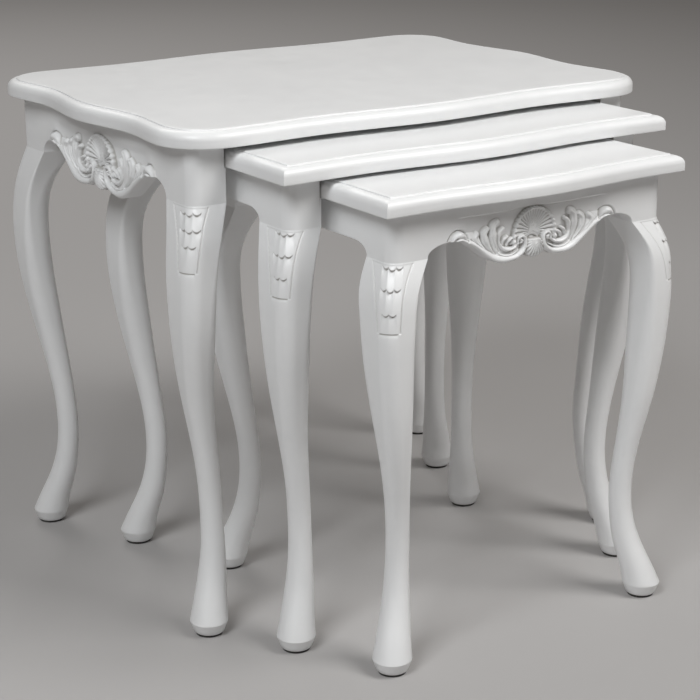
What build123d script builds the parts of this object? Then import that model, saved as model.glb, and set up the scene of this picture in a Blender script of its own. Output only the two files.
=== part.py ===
"""A nest of three occasional tables with cabriole legs; the two smaller ones slide out to the front.

Millimetres, +Z up, X across the long front, the front towards -Y.  The origin is on the floor, midway
across the nest and midway between the smallest top's front edge and the largest top's back edge.
"""
import math
import os
from dataclasses import dataclass

from build123d import *

# ---- the tops -------------------------------------------------------------------------------------
top_thickness = 18.0
edge_height = 16.6          # the moulded rim stands a little lower than the flat field
edge_round = 8.6            # radius of the rim's quarter round
field_inset = 10.9          # from the rim's outside to the step up to the field
small_underside = 477.8     # from the floor to the underside of the smallest top
small_gap = 4.1             # air over the smallest top, under the middle one
middle_gap = 5.9            # air over the middle top, under the largest

# Wavy edges: where the hollow lies as a share of the run, how far it draws in, and how far the middle
# swells out.
small_front_wave = (0.17, 0.2, 8.8)
middle_front_wave = (0.20, 3.0, 6.4)
large_front_wave = (0.22, 4.2, 5.1)
large_side_wave = (0.20, 6.4, 4.8)
large_corner_round = 55.0   # plan radius of the largest top's corners

# ---- where the legs stand -------------------------------------------------------------------------
small_foot_x = 168.5        # foot centres, from the middle of the table
small_foot_y = 162.5
middle_foot_y = 175.0
large_foot_y = 192.5
small_side_overhang = 19.5  # top's edge beyond the foot centre, at the sides
middle_side_overhang = 24.0
large_side_overhang = 27.5
small_front_overhang = 18.5     # front and back alike
middle_front_overhang = 28.0    # front and back alike
large_front_overhang = 25.0
large_back_overhang = 39.0

# ---- legs -----------------------------------------------------------------------------------------
large_post_proud = 7.7      # post's outer faces beyond the foot centre
middle_post_proud = 6.0
small_post_proud = 4.3
large_front_setback = 5.0   # front face of the largest table's front posts, behind where that puts it
slide_post_inner = 33.0     # inner face inward of the foot centre, along X, where another slides in
large_post_inner = 49.3     # the same along Y
middle_post_inner = 48.0
small_post_inner = 38.0     # the smallest table's posts, both ways
post_round = 15.0           # on the post's outer corner
post_ease = 1.5             # on its three other corners
large_arris = 56.0          # height of the post under the top, down to the crisp line over the knee
middle_arris = 51.0
small_arris = 45.0
# How far the swelling is held back: sideways at the knee of all four legs, then forwards at the knee
# and at the shin of the two front legs.
large_leg_ease = (0.0, 4.0, 11.0)
middle_leg_ease = (3.0, 6.0, 5.0)
small_leg_ease = (5.0, 7.0, -2.5)
ankle_height = 125.0
ring_height = 15.0          # the widest line of the pad foot
ring_radius = 20.4
foot_base_radius = 15.9
glide_radius = 14.0
glide_height = 3.0
slot_deep = 6.6             # slot in a post's inner face for the smaller top's edge
slot_lap = 0.8              # how far that edge reaches into the slot
slot_floor_gap = 0.6        # air under the smaller top in the slot
slot_end_gap = 2.0          # slot runs on this far behind the back apron's inner face

# ---- aprons ---------------------------------------------------------------------------------------
apron_thickness = 18.0
large_arch_rise = 15.0      # how far an apron's lower edge climbs above the arris beside the post
middle_arch_rise = 12.0
small_arch_rise = 8.0
large_carving_drop = 77.0   # deepest point of the carved apron, under the top
small_carving_drop = 66.0
large_carving_half = 116.0  # half the length of the carving, out to the leaf tips
small_carving_half = 101.0
scroll_lift = 16.0          # from the deepest point up to where a scroll meets its leaf
leaf_sag = 9.0              # swell of the leaf's lower edge below its tip
ground_sink = 2.0           # the carving's ground lies this far behind the apron's face
ground_top = 12.5           # plain band left above the ground
carving_proud = 1.5         # boldest forms in front of the apron's face

# ---- battens, dowels, screws ----------------------------------------------------------------------
batten_deep = 16.0
batten_high = 18.0
batten_end_gap = 0.5
dowel_radius = 4.0
dowel_length = 31.0
dowel_end_gap = 0.5
dowel_drop = (14.0, 30.0)   # dowel axes under the top
top_dowel_in_post = 20.0
top_dowel_in_board = 10.0
screw_radius = 1.75
screw_head_radius = 3.8
screw_head_height = 2.6
screw_bite = 11.0           # thread held in the board or the apron
fit_gap = 0.1               # round every dowel and screw
top_screws = 3              # up through each batten into the board
apron_screws = 2            # through each batten into its apron

# ---- how far out they stand, and how far they go --------------------------------------------------
middle_out = 101.5          # centre of the middle table in front of the large one's
small_out = 113.0           # centre of the smallest in front of the middle one's

# ---- sizes that follow ----------------------------------------------------------------------------
middle_underside = small_underside + top_thickness + small_gap
large_underside = middle_underside + top_thickness + middle_gap
small_top_x = small_foot_x + small_side_overhang
middle_foot_x = small_top_x - slot_lap + slide_post_inner
middle_top_x = middle_foot_x + middle_side_overhang
large_foot_x = middle_top_x - slot_lap + slide_post_inner
large_top_x = large_foot_x + large_side_overhang
small_top_y = small_foot_y + small_front_overhang
middle_top_y = middle_foot_y + middle_front_overhang
large_top_y = large_foot_y + large_front_overhang
large_top_back = large_foot_y + large_back_overhang
nest_front = middle_out + small_out + small_top_y + small_front_wave[2]
nest_back = large_top_back + large_front_wave[2]
large_y = (nest_front - nest_back) / 2
middle_y = large_y - middle_out
small_y = middle_y - small_out


@dataclass
class Table:
    """One table of the nest, with every length taken from its own middle."""
    name: str
    y: float            # where its middle stands along the nest
    underside: float
    foot_x: float
    foot_y: float
    top_x: float
    top_y: float        # front edge's corners
    top_back: float     # back edge's corners
    front_wave: tuple
    proud: float
    inner_x: float      # post's inner faces, inward of the foot centre
    inner_y: float
    setback: float      # front posts' front faces, behind the line of the side aprons' ends
    arris_drop: float
    arch_rise: float
    knee_ease: float
    front_knee_ease: float
    front_shin_ease: float
    carved_half: float
    carved_drop: float
    carved: tuple       # sides that carry carving
    plain: tuple        # sides with a plain apron
    sliding_underside: float    # underside of the top that slides into this table; 0 for none

    @property
    def face_x(self):
        return self.foot_x + self.proud

    @property
    def face_y(self):
        return self.foot_y + self.proud

    @property
    def peak(self):
        """How far under the top an apron's lower edge lies where its arch is highest."""
        return self.arris_drop - self.arch_rise

    @property
    def arris(self):
        return self.underside - self.arris_drop

    def half_span(self, side):
        """Half the clear length between the posts that hold one apron."""
        if side in ("left", "right"):
            return self.foot_y - self.inner_y
        return self.foot_x - self.inner_x


large = Table("large", large_y, large_underside, large_foot_x, large_foot_y, large_top_x, large_top_y,
              large_top_back, large_front_wave, large_post_proud, slide_post_inner, large_post_inner,
              large_front_setback, large_arris, large_arch_rise, *large_leg_ease,
              large_carving_half, large_carving_drop, ("left", "right"), ("back",), middle_underside)
middle = Table("middle", middle_y, middle_underside, middle_foot_x, middle_foot_y, middle_top_x,
               middle_top_y, middle_top_y, middle_front_wave, middle_post_proud, slide_post_inner,
               middle_post_inner, 0, middle_arris, middle_arch_rise, *middle_leg_ease,
               0, 0, (), ("left", "right", "back"), small_underside)
small = Table("small", small_y, small_underside, small_foot_x, small_foot_y, small_top_x, small_top_y,
              small_top_y, small_front_wave, small_post_proud, small_post_inner, small_post_inner,
              0, small_arris, small_arch_rise, *small_leg_ease,
              small_carving_half, small_carving_drop, ("front",), ("left", "right", "back"), 0)


# ---- tops -----------------------------------------------------------------------------------------
def cut_all(piece, cutters):
    """The piece less every cutter that meets it."""
    box = piece.bounding_box()
    return piece - [cutter for cutter in cutters if box.overlaps(cutter.bounding_box())]


def wavy_edge(start, end, wave):
    """A serpentine edge: in near both ends, out at the middle, outward being on the right."""
    place, dip, bow = wave
    start, end = Vector(*start), Vector(*end)
    run = end - start
    along = run.normalized()
    outward = Vector(along.Y, -along.X)
    points = [start, start + run * place - outward * dip, start + run * 0.5 + outward * bow,
              start + run * (1 - place) - outward * dip, end]
    return Spline(points, tangents=[along, along])


def large_outline(inset=0.0):
    """Serpentine on all four sides, with rounded corners."""
    r = large_corner_round - inset
    x, front, back = large.top_x - inset, large.top_y - inset, large.top_back - inset
    far_x, far_front, far_back = x - r, front - r, back - r
    bend = r * math.sqrt(0.5)
    return make_face([
        wavy_edge((-far_x, -front), (far_x, -front), large_front_wave),
        ThreePointArc((far_x, -front), (far_x + bend, -far_front - bend), (x, -far_front)),
        wavy_edge((x, -far_front), (x, far_back), large_side_wave),
        ThreePointArc((x, far_back), (far_x + bend, far_back + bend), (far_x, back)),
        wavy_edge((far_x, back), (-far_x, back), large_front_wave),
        ThreePointArc((-far_x, back), (-far_x - bend, far_back + bend), (-x, far_back)),
        wavy_edge((-x, far_back), (-x, -far_front), large_side_wave),
        ThreePointArc((-x, -far_front), (-far_x - bend, -far_front - bend), (-far_x, -front))])


def sliding_outline(table, inset=0.0):
    """Serpentine front; straight sides and back, which have to pass between the posts."""
    x, y = table.top_x - inset, table.top_y - inset
    front = wavy_edge((-x, -y), (x, -y), table.front_wave)
    return make_face([front, Line((x, -y), (x, y)), Line((x, y), (-x, y)), Line((-x, y), (-x, -y))])


def table_top(table):
    """A board with a quarter-round rim and a slightly raised field."""
    outline, field = [large_outline(inset) if table is large else sliding_outline(table, inset)
                      for inset in (0.0, field_inset)]
    rim = extrude(outline, edge_height)
    rim = fillet(rim.faces().sort_by(Axis.Z)[-1].edges(), edge_round)
    board = rim + extrude(field, top_thickness)
    return Pos(0, table.y, table.underside) * board


# ---- legs -----------------------------------------------------------------------------------------
# Slices of the cabriole leg from the pad foot up.  rise: 0 at the foot's ring, 1 at the ankle, 2 at the
# arris.  out, in_x, in_y: the outer faces and the two inner ones, from the foot's centre outward.
# Then the radii of the outer corner, the two side corners and the inner corner, and last how much of
# its table's shin and knee easing the slice takes.
leg_slices = (
    # rise   out    in_x   in_y   outer  side  inner  shin  knee
    (0.00, 20.4, -20.4, -20.4, 20.1, 20.1, 20.1, 0.00, 0.00),
    (0.14, 14.8, -21.9, -21.9, 18.0, 18.0, 18.0, 0.00, 0.00),
    (0.41, 3.6, -27.1, -27.1, 15.0, 15.0, 15.0, 0.00, 0.00),
    (0.68, -4.0, -30.0, -30.0, 12.7, 12.7, 12.7, 0.05, 0.00),
    (1.00, -6.9, -31.2, -31.2, 11.8, 11.8, 11.8, 0.30, 0.00),
    (1.16, -3.2, -28.4, -28.4, 12.2, 12.2, 12.2, 0.62, 0.03),
    (1.34, 7.3, -22.4, -25.2, 13.2, 13.5, 14.0, 1.00, 0.30),
    (1.51, 17.6, -17.0, -24.4, 15.0, 13.0, 18.5, 0.75, 0.80),
    (1.63, 22.3, -13.8, -24.4, 16.0, 10.5, 21.0, 0.38, 1.00),
    (1.72, 23.5, -12.8, -25.4, 16.5, 8.0, 22.0, 0.20, 0.95),
    (1.81, 22.4, -13.8, -27.6, 17.0, 5.0, 22.0, 0.08, 0.75),
    (1.90, 17.6, -19.4, -34.0, 16.5, 3.0, 16.0, 0.00, 0.40),
)


def rounded_slice(height, out_x, out_y, in_x, in_y, outer, side, inner):
    """A four-sided closed line with its own radius at each corner, for the leg of the +X +Y corner."""
    corners = [(out_x, out_y, outer, 0), (in_x, out_y, side, 90), (in_x, in_y, inner, 180),
               (out_x, in_y, side, 270)]
    arcs = []
    for x, y, radius, start in corners:
        middle_angle = math.radians(start + 45)
        inward_x = x - math.copysign(radius, math.cos(middle_angle))
        inward_y = y - math.copysign(radius, math.sin(middle_angle))
        ends = [Vector(inward_x + radius * math.cos(math.radians(start + turn)),
                       inward_y + radius * math.sin(math.radians(start + turn)), height)
                for turn in (0, 45, 90)]
        arcs.append(ends)
    edges = []
    for index, ends in enumerate(arcs):
        edges.append(Edge.make_three_point_arc(*ends))
        edges.append(Edge.make_line(ends[2], arcs[(index + 1) % 4][0]))
    return Wire(edges)


def post_slice(table, height, front):
    """The post's own section, which the knee starts from."""
    out_y = table.proud - table.setback if front else table.proud
    return rounded_slice(height, table.proud, out_y, -table.inner_x, -table.inner_y,
                         post_round, post_ease, post_ease)


def slice_height(table, rise):
    """The foot keeps its height on every table; from the ankle up the leg is shared out to the arris."""
    if rise <= 1:
        return ring_height + rise * (ankle_height - ring_height)
    return ankle_height + (rise - 1) * (table.arris - ankle_height)


def slot_block(table, step_x, step_y):
    """The slot along the inner side of one post, open to the front and closed at the back apron."""
    inner = table.foot_x - table.inner_x
    front = -table.top_y
    back = table.face_y - apron_thickness + slot_end_gap
    floor = table.sliding_underside - slot_floor_gap
    block = Box(2 * slot_deep, back - front, table.underside - floor,
                align=(Align.CENTER, Align.MIN, Align.MIN))
    return Pos(step_x * inner, table.y + front, floor) * block


def lower_leg(table, front):
    """Pad foot, slender ankle and swelling knee up to the arris, for the +X +Y corner."""
    outlines = []
    for rise, out, in_x, in_y, outer, side, inner, shin, knee in leg_slices:
        back_x = knee * table.knee_ease
        back_y = shin * table.front_shin_ease + knee * table.front_knee_ease if front else 0.0
        outlines.append(rounded_slice(slice_height(table, rise), out - back_x, out - back_y,
                                      in_x - back_x, in_y - back_y, outer, side, inner))
    outlines.append(post_slice(table, table.arris, front))
    foot = Pos(0, 0, glide_height) * Cone(foot_base_radius, ring_radius, ring_height - glide_height,
                                          align=(Align.CENTER, Align.CENTER, Align.MIN))
    return Part() + [Solid.make_loft(outlines), foot]


def cabriole_leg(table, lower, step_x, step_y, holes):
    """The lower leg and its square post in one piece, the post drilled and slotted."""
    post = extrude(Face(post_slice(table, table.arris, step_y < 0)), table.underside - table.arris)
    leg = []
    for piece in (post, lower):
        if step_x < 0:
            piece = mirror(piece, about=Plane.YZ)
        if step_y < 0:
            piece = mirror(piece, about=Plane.XZ)
        leg.append(Pos(step_x * table.foot_x, table.y + step_y * table.foot_y, 0) * piece)
    post = cut_all(leg[0], holes)
    if table.sliding_underside:
        post -= slot_block(table, step_x, step_y)
    return post + leg[1]


# ---- aprons ---------------------------------------------------------------------------------------
def apron_plane(table, side):
    """Drawing plane on an apron's outer face: x along it, y up from the underside of the top."""
    places = {
        "left": ((-table.face_x, table.y, table.underside), (0, -1, 0), (-1, 0, 0)),
        "right": ((table.face_x, table.y, table.underside), (0, 1, 0), (1, 0, 0)),
        "front": ((0, table.y - table.face_y, table.underside), (1, 0, 0), (0, -1, 0)),
        "back": ((0, table.y + table.face_y, table.underside), (-1, 0, 0), (0, 1, 0)),
    }
    origin, along, outward = places[side]
    return Plane(origin=origin, x_dir=along, z_dir=outward)


def arch_to_post(half, arris, reach, peak):
    """The hollow from the post's arris up to the lower edge proper, on the positive side."""
    return ThreePointArc((half, -arris), (half - (half - reach) * 0.45, -peak - (arris - peak) * 0.24),
                         (reach, -peak))


def plain_outline(table, half):
    """A board with a shallow hollow under it, running down to the arris at each post."""
    peak, arris = table.peak, table.arris_drop
    reach = half - 2 * table.arch_rise
    right = [arch_to_post(half, arris, reach, peak)]
    left = [mirror(edge, about=Plane.YZ) for edge in right]
    return make_face(right + left + [
        Line((reach, -peak), (-reach, -peak)),
        Line((-half, -arris), (-half, 0)), Line((-half, 0), (half, 0)), Line((half, 0), (half, -arris))])


def carved_outline(table, half):
    """Lower edge with a pendant, two scrolls and two leaves that rise to their tips."""
    tip, drop, arris, peak = table.carved_half, table.carved_drop, table.arris_drop, table.peak
    pendant = tip * 0.17
    cusp = pendant * 0.6 - drop
    scroll = (tip * 0.66, scroll_lift - drop)
    right = [
        ThreePointArc((0, -drop), (pendant * 0.7, pendant * 0.22 - drop), (pendant, cusp)),
        ThreePointArc((pendant, cusp), (tip * 0.41, -drop), scroll),
        ThreePointArc(scroll, (tip * 0.85, -peak - leaf_sag), (tip, -peak)),
        arch_to_post(half, arris, tip, peak),
    ]
    left = [mirror(edge, about=Plane.YZ) for edge in right]
    return make_face(right + left + [
        Line((-half, -arris), (-half, 0)), Line((-half, 0), (half, 0)), Line((half, 0), (half, -arris))])


def carved_forms(table):
    """The bold masses of the carving: shell, palmette, a pair of scroll eyes and a pair of leaves."""
    tip, drop = table.carved_half, table.carved_drop
    forms = Pos(0, -drop * 0.45) * Ellipse(tip * 0.26, drop * 0.27)
    forms += Pos(0, -drop * 0.83) * Ellipse(tip * 0.15, drop * 0.15)
    for step in (-1, 1):
        forms += Pos(step * tip * 0.42, -drop * 0.84) * Circle(drop * 0.13)
        leaf = Rot(0, 0, step * 28) * Ellipse(tip * 0.30, drop * 0.09)
        forms += Pos(step * tip * 0.64, -drop * 0.62) * leaf
    return forms


def apron(table, side):
    """One apron board, with its ground sunk and the carving's masses raised where it is carved."""
    half = table.half_span(side)
    plane = apron_plane(table, side)
    if side not in table.carved:
        return extrude(plane * plain_outline(table, half), -apron_thickness)
    board = extrude(plane * carved_outline(table, half), -apron_thickness)
    tip, drop = table.carved_half, table.carved_drop
    ground = make_face(Polyline((-tip * 0.84, -ground_top), (tip * 0.84, -ground_top),
                                (tip * 0.98, -drop * 1.1), (-tip * 0.98, -drop * 1.1), close=True))
    board -= extrude(plane * ground, ground_sink, both=True)
    sunk = plane * Pos(0, 0, -apron_thickness / 2)
    return board + extrude(sunk * carved_forms(table), apron_thickness / 2 + carving_proud)


# ---- joinery --------------------------------------------------------------------------------------
def rod(centre, direction, radius, length):
    """A round bar about its own middle."""
    return Plane(origin=centre, z_dir=direction) * Cylinder(radius, length)


def apron_dowel_places(table, side):
    """Middle and direction of the dowels across both end joints of one apron."""
    plane = apron_plane(table, side)
    half = table.half_span(side)
    places = []
    for step in (-1, 1):
        for drop in dowel_drop:
            centre = plane.from_local_coords(Vector(step * half, -drop, -apron_thickness / 2))
            places.append((centre, plane.x_dir))
    return places


def top_dowel_place(table, step_x, step_y):
    """Middle of the dowel that joins one post to the board above."""
    x = step_x * (table.foot_x + (table.proud - table.inner_x) / 2)
    y = table.y + step_y * (table.foot_y + (table.proud - table.inner_y) / 2)
    return Vector(x, y, table.underside + (top_dowel_in_board - top_dowel_in_post) / 2)


def batten(table, step):
    """A strip along the inside of a side apron that carries the board's screws."""
    length = 2 * (table.half_span("left") - batten_end_gap)
    strip = Box(batten_deep, length, batten_high, align=(Align.MAX, Align.CENTER, Align.MAX))
    strip = Pos(table.face_x - apron_thickness, table.y, table.underside) * strip
    return strip if step > 0 else mirror(strip, about=Plane.YZ)


def screw(place, drive, room=0.0):
    """A countersunk screw with its head's face at place and its point at the end of drive."""
    seat = (Align.CENTER, Align.CENTER, Align.MIN)
    head = Cone(screw_head_radius + room, screw_radius + room, screw_head_height, align=seat)
    shank = Cylinder(screw_radius + room, drive.length + room, align=seat)
    return Plane(origin=place, z_dir=drive) * (head + shank)


def top_screw_places(table, step):
    """Screws up through one batten into the board."""
    x = step * (table.face_x - apron_thickness - batten_deep / 2)
    run = table.half_span("left") * 0.75
    spots = [run * (2 * index / (top_screws - 1) - 1) for index in range(top_screws)]
    start = table.underside - batten_high
    return [(Vector(x, table.y + spot, start), Vector(0, 0, batten_high + screw_bite)) for spot in spots]


def apron_screw_places(table, step):
    """Screws sideways through one batten into its apron."""
    x = step * (table.face_x - apron_thickness - batten_deep)
    run = table.half_span("left") * 0.4
    spots = [run * (2 * index / (apron_screws - 1) - 1) for index in range(apron_screws)]
    height = table.underside - batten_high / 2
    drive = Vector(step * (batten_deep + screw_bite), 0, 0)
    return [(Vector(x, table.y + spot, height), drive) for spot in spots]


def glide(table, step_x, step_y):
    """A thin disc nailed under the foot."""
    disc = Cylinder(glide_radius, glide_height, align=(Align.CENTER, Align.CENTER, Align.MIN))
    return Pos(step_x * table.foot_x, table.y + step_y * table.foot_y, 0) * disc


# ---- one whole table ------------------------------------------------------------------------------
corner_steps = {"front_left": (-1, -1), "front_right": (1, -1), "back_left": (-1, 1), "back_right": (1, 1)}


def build_table(table):
    """Every piece of one table, by node name."""
    pieces = {}
    sides = table.carved + table.plain
    apron_dowels = [place for side in sides for place in apron_dowel_places(table, side)]
    top_dowels = [top_dowel_place(table, *steps) for steps in corner_steps.values()]
    up_screws = [place for step in (-1, 1) for place in top_screw_places(table, step)]
    side_screws = [place for step in (-1, 1) for place in apron_screw_places(table, step)]
    hole_radius = dowel_radius + fit_gap
    top_hole_length = top_dowel_in_post + top_dowel_in_board
    apron_holes = [rod(*place, hole_radius, dowel_length + 2 * dowel_end_gap) for place in apron_dowels]
    top_holes = [rod(place, Vector(0, 0, 1), hole_radius, top_hole_length) for place in top_dowels]
    up_holes = [screw(*place, room=fit_gap) for place in up_screws]
    side_holes = [screw(*place, room=fit_gap) for place in side_screws]

    pieces["top"] = cut_all(table_top(table), top_holes + up_holes)
    lower = {-1: lower_leg(table, True), 1: lower_leg(table, False)}
    for name, (step_x, step_y) in corner_steps.items():
        pieces[name + "_leg"] = cabriole_leg(table, lower[step_y], step_x, step_y, apron_holes + top_holes)
    for side in sides:
        pieces[side + "_apron"] = cut_all(apron(table, side), apron_holes + side_holes)
    for name, step in (("left_batten", -1), ("right_batten", 1)):
        pieces[name] = cut_all(batten(table, step), up_holes + side_holes)
    pieces["apron_dowels"] = Compound(children=[
        rod(*place, dowel_radius, dowel_length).solid() for place in apron_dowels])
    pieces["top_dowels"] = Compound(children=[
        rod(place, Vector(0, 0, 1), dowel_radius, top_hole_length - 2 * dowel_end_gap).solid()
        for place in top_dowels])
    pieces["top_screws"] = Compound(children=[screw(*place).solid() for place in up_screws])
    pieces["batten_screws"] = Compound(children=[screw(*place).solid() for place in side_screws])
    pieces["foot_glides"] = Compound(children=[
        glide(table, *steps).solid() for steps in corner_steps.values()])
    return {table.name + "_" + name: piece for name, piece in pieces.items()}


def main():
    os.makedirs("parts", exist_ok=True)
    nest = {}
    for table in (large, middle, small):
        nest.update(build_table(table))
    for name, piece in nest.items():
        export_step(piece, "parts/" + name + ".step")
    print(len(nest), "pieces; tables stand at y", round(large_y, 2), round(middle_y, 2), round(small_y, 2))


main()
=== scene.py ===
import math

import bmesh
import bpy
import numpy as np
from mathutils import Matrix, Vector


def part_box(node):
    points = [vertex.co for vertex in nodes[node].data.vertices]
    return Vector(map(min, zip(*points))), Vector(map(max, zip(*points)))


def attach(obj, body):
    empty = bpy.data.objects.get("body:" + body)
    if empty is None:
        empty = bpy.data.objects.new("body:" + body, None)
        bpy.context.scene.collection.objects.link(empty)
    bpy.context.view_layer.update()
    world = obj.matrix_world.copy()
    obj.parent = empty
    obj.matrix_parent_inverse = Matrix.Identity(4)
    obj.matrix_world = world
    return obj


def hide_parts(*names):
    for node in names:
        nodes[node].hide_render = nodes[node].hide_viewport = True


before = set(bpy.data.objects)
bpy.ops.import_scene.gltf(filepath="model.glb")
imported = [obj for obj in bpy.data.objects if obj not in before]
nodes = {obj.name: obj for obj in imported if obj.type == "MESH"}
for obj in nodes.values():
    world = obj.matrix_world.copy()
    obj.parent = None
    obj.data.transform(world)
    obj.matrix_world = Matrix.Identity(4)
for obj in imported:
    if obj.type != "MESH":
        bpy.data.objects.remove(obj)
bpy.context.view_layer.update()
print("frame loaded:", len(nodes), "nodes")

mm = 0.001              # shapes are worked out in millimetres and written in metres
slotRoom = 0.6          # air under a smaller top in its slot


def splineThrough(knots, values, at, startSlope=None, endSlope=None):
    # cubic through the values; its second derivative is zero at an end with no slope given
    knots, values, at = (np.asarray(item, float) for item in (knots, values, at))
    shape, at, count = at.shape + values.shape[1:], at.ravel(), len(knots)
    flat = values.reshape(count, -1)
    step = np.diff(knots)
    rise = np.diff(flat, axis=0) / step[:, None]
    system, right = np.zeros((count, count)), np.zeros_like(flat)
    inner = np.arange(1, count - 1)
    system[inner, inner - 1] = step[:-1]
    system[inner, inner] = 2 * (step[:-1] + step[1:])
    system[inner, inner + 1] = step[1:]
    right[1:-1] = 6 * np.diff(rise, axis=0)
    system[0, 0] = system[-1, -1] = 1
    if startSlope is not None:
        system[0, :2] = 2 * step[0], step[0]
        right[0] = 6 * (rise[0] - startSlope)
    if endSlope is not None:
        system[-1, -2:] = step[-1], 2 * step[-1]
        right[-1] = 6 * (endSlope - rise[-1])
    bend = np.linalg.solve(system, right)
    cell = np.clip(np.searchsorted(knots, at, side="right") - 1, 0, count - 2)
    a = ((knots[cell + 1] - at) / step[cell])[:, None]
    b = 1 - a
    square = (step[cell] ** 2)[:, None] / 6
    result = (a * flat[cell] + b * flat[cell + 1]
              + ((a ** 3 - a) * bend[cell] + (b ** 3 - b) * bend[cell + 1]) * square)
    return result.reshape(shape)


def smoothCurve(points, count):
    # the points joined by a cubic in the running length between them
    points = np.asarray(points, float)
    run = np.concatenate([[0], np.cumsum(np.hypot(*np.diff(points[:, :2], axis=0).T))])
    return splineThrough(run / run[-1], points, np.linspace(0, 1, count))


def smoothStep(value):
    # zero below 0, one above 1, three squares less two cubes between
    value = np.clip(value, 0, 1)
    return value * value * (3 - 2 * value)


def closedSkin(name, rings, crease, masks=None, merge=False):
    # rings[row, column]: closed loops carried along a path, with a flat cap on the first and the last;
    # a volume summed from the corners tells whether the faces have to be turned outwards
    rows, columns = rings.shape[:2]
    index = np.arange(rows * columns).reshape(rows, columns)
    after = np.roll(index, -1, axis=1)
    quads = np.stack([index[:-1], after[:-1], after[1:], index[1:]], axis=-1).reshape(-1, 4)
    points = rings.reshape(-1, 3)
    corner = points[quads] - points.mean(0)
    volume = np.einsum("ij,ij->i", corner[:, 0], np.cross(corner[:, 1], corner[:, 2])).sum()
    volume += np.einsum("ij,ij->i", corner[:, 0], np.cross(corner[:, 2], corner[:, 3])).sum()
    caps = [index[0][::-1], index[-1]]
    if volume < 0:
        quads, caps = quads[:, ::-1], [cap[::-1] for cap in caps]
    loops = np.concatenate([quads.ravel(), *caps])
    starts = np.concatenate([np.arange(len(quads)) * 4, len(quads) * 4 + np.array([0, columns])])
    mesh = bpy.data.meshes.new(name)
    mesh.vertices.add(len(points))
    mesh.vertices.foreach_set("co", (points * mm).ravel())
    mesh.loops.add(len(loops))
    mesh.loops.foreach_set("vertex_index", loops.astype(np.int32))
    mesh.polygons.add(len(starts))
    mesh.polygons.foreach_set("loop_start", starts.astype(np.int32))
    mesh.update(calc_edges=True)
    for key, values in (masks or {}).items():
        mesh.attributes.new(key, "FLOAT", "POINT").data.foreach_set("value", values.ravel().astype(np.float32))
    if merge:
        work = bmesh.new()
        work.from_mesh(mesh)
        bmesh.ops.remove_doubles(work, verts=work.verts, dist=2e-6)
        bmesh.ops.dissolve_degenerate(work, edges=work.edges, dist=1e-7)
        bmesh.ops.recalc_face_normals(work, faces=work.faces)
        work.to_mesh(mesh)
        work.free()
    mesh.validate()
    mesh.polygons.foreach_set("use_smooth", np.ones(len(mesh.polygons), bool))
    mesh.set_sharp_from_angle(angle=math.radians(crease))
    piece = bpy.data.objects.new(name, mesh)
    bpy.context.scene.collection.objects.link(piece)
    return piece


def dress(piece, table, node, material):
    # hangs a new piece on its table's body, in the place of its node
    piece.data.materials.append(material)
    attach(piece, table["body"])
    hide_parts(node)


def newGroup(name, inputs, outputs):
    # a node group with its named sockets, and the two nodes that hold them inside
    group = bpy.data.node_groups.new(name, "ShaderNodeTree")
    for label, kind, value in inputs:
        socket = group.interface.new_socket(name=label, in_out="INPUT", socket_type=kind)
        if value is not None:
            socket.default_value = value
    for label, kind in outputs:
        group.interface.new_socket(name=label, in_out="OUTPUT", socket_type=kind)
    return group, group.nodes.new("NodeGroupInput"), group.nodes.new("NodeGroupOutput")


def addNode(tree, kind, **settings):
    # a node with its settings
    node = tree.nodes.new(kind)
    for key, value in settings.items():
        setattr(node, key, value)
    return node


def mathNode(tree, operation, first, second=None, third=None):
    # one arithmetic step; each input is a number or a socket
    node = addNode(tree, "ShaderNodeMath", operation=operation)
    for slotIndex, value in enumerate((first, second, third)):
        if value is None:
            continue
        if isinstance(value, (int, float)):
            node.inputs[slotIndex].default_value = value
        else:
            tree.links.new(value, node.inputs[slotIndex])
    return node.outputs[0]


def noiseNode(tree, vector, scale, detail, roughness=0.5):
    # fractal noise between 0 and 1, its octaves weighted by the roughness
    node = addNode(tree, "ShaderNodeTexNoise")
    node.inputs["Detail"].default_value = detail
    node.inputs["Roughness"].default_value = roughness
    if isinstance(scale, (int, float)):
        node.inputs["Scale"].default_value = scale
    else:
        tree.links.new(scale, node.inputs["Scale"])
    tree.links.new(vector, node.inputs["Vector"])
    return node.outputs["Fac"]


# noise scales are per metre
filmLook = {
    "broadScale": 7.0, "cloudScale": 38.0, "grainScale": 60.0, "stippleScale": 900.0, "stippleWeight": 0.12,
    "cloudShare": 0.4, "bumpDistance": 0.0001, "bumpStrength": 0.3,
}

# sprayed film: broad unevenness, fine stipple, and the closed grain that shows faintly through it
lacquerGroup, groupIn, groupOut = newGroup(
    "sprayedFilm",
    [("Vector", "NodeSocketVector", None), ("Stipple Scale", "NodeSocketFloat", filmLook["stippleScale"]),
     ("Grain Stretch", "NodeSocketVector", (1.0, 1.0, 1.0)), ("Grain Amount", "NodeSocketFloat", 0.25)],
    [("Tone", "NodeSocketFloat"), ("Gloss Mask", "NodeSocketFloat"), ("Height", "NodeSocketFloat")])
link = lacquerGroup.links.new
broad = noiseNode(lacquerGroup, groupIn.outputs["Vector"], filmLook["broadScale"], 3.0)
stipple = noiseNode(lacquerGroup, groupIn.outputs["Vector"], groupIn.outputs["Stipple Scale"], 2.0)
cloud = noiseNode(lacquerGroup, groupIn.outputs["Vector"], filmLook["cloudScale"], 4.0, 0.6)
stretched = addNode(lacquerGroup, "ShaderNodeVectorMath", operation="MULTIPLY")
link(groupIn.outputs["Vector"], stretched.inputs[0])
link(groupIn.outputs["Grain Stretch"], stretched.inputs[1])
grain = noiseNode(lacquerGroup, stretched.outputs[0], filmLook["grainScale"], 5.0, 0.62)
tone = mathNode(lacquerGroup, "MULTIPLY_ADD", cloud, filmLook["cloudShare"],
                mathNode(lacquerGroup, "MULTIPLY", broad, 1 - filmLook["cloudShare"]))
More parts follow.
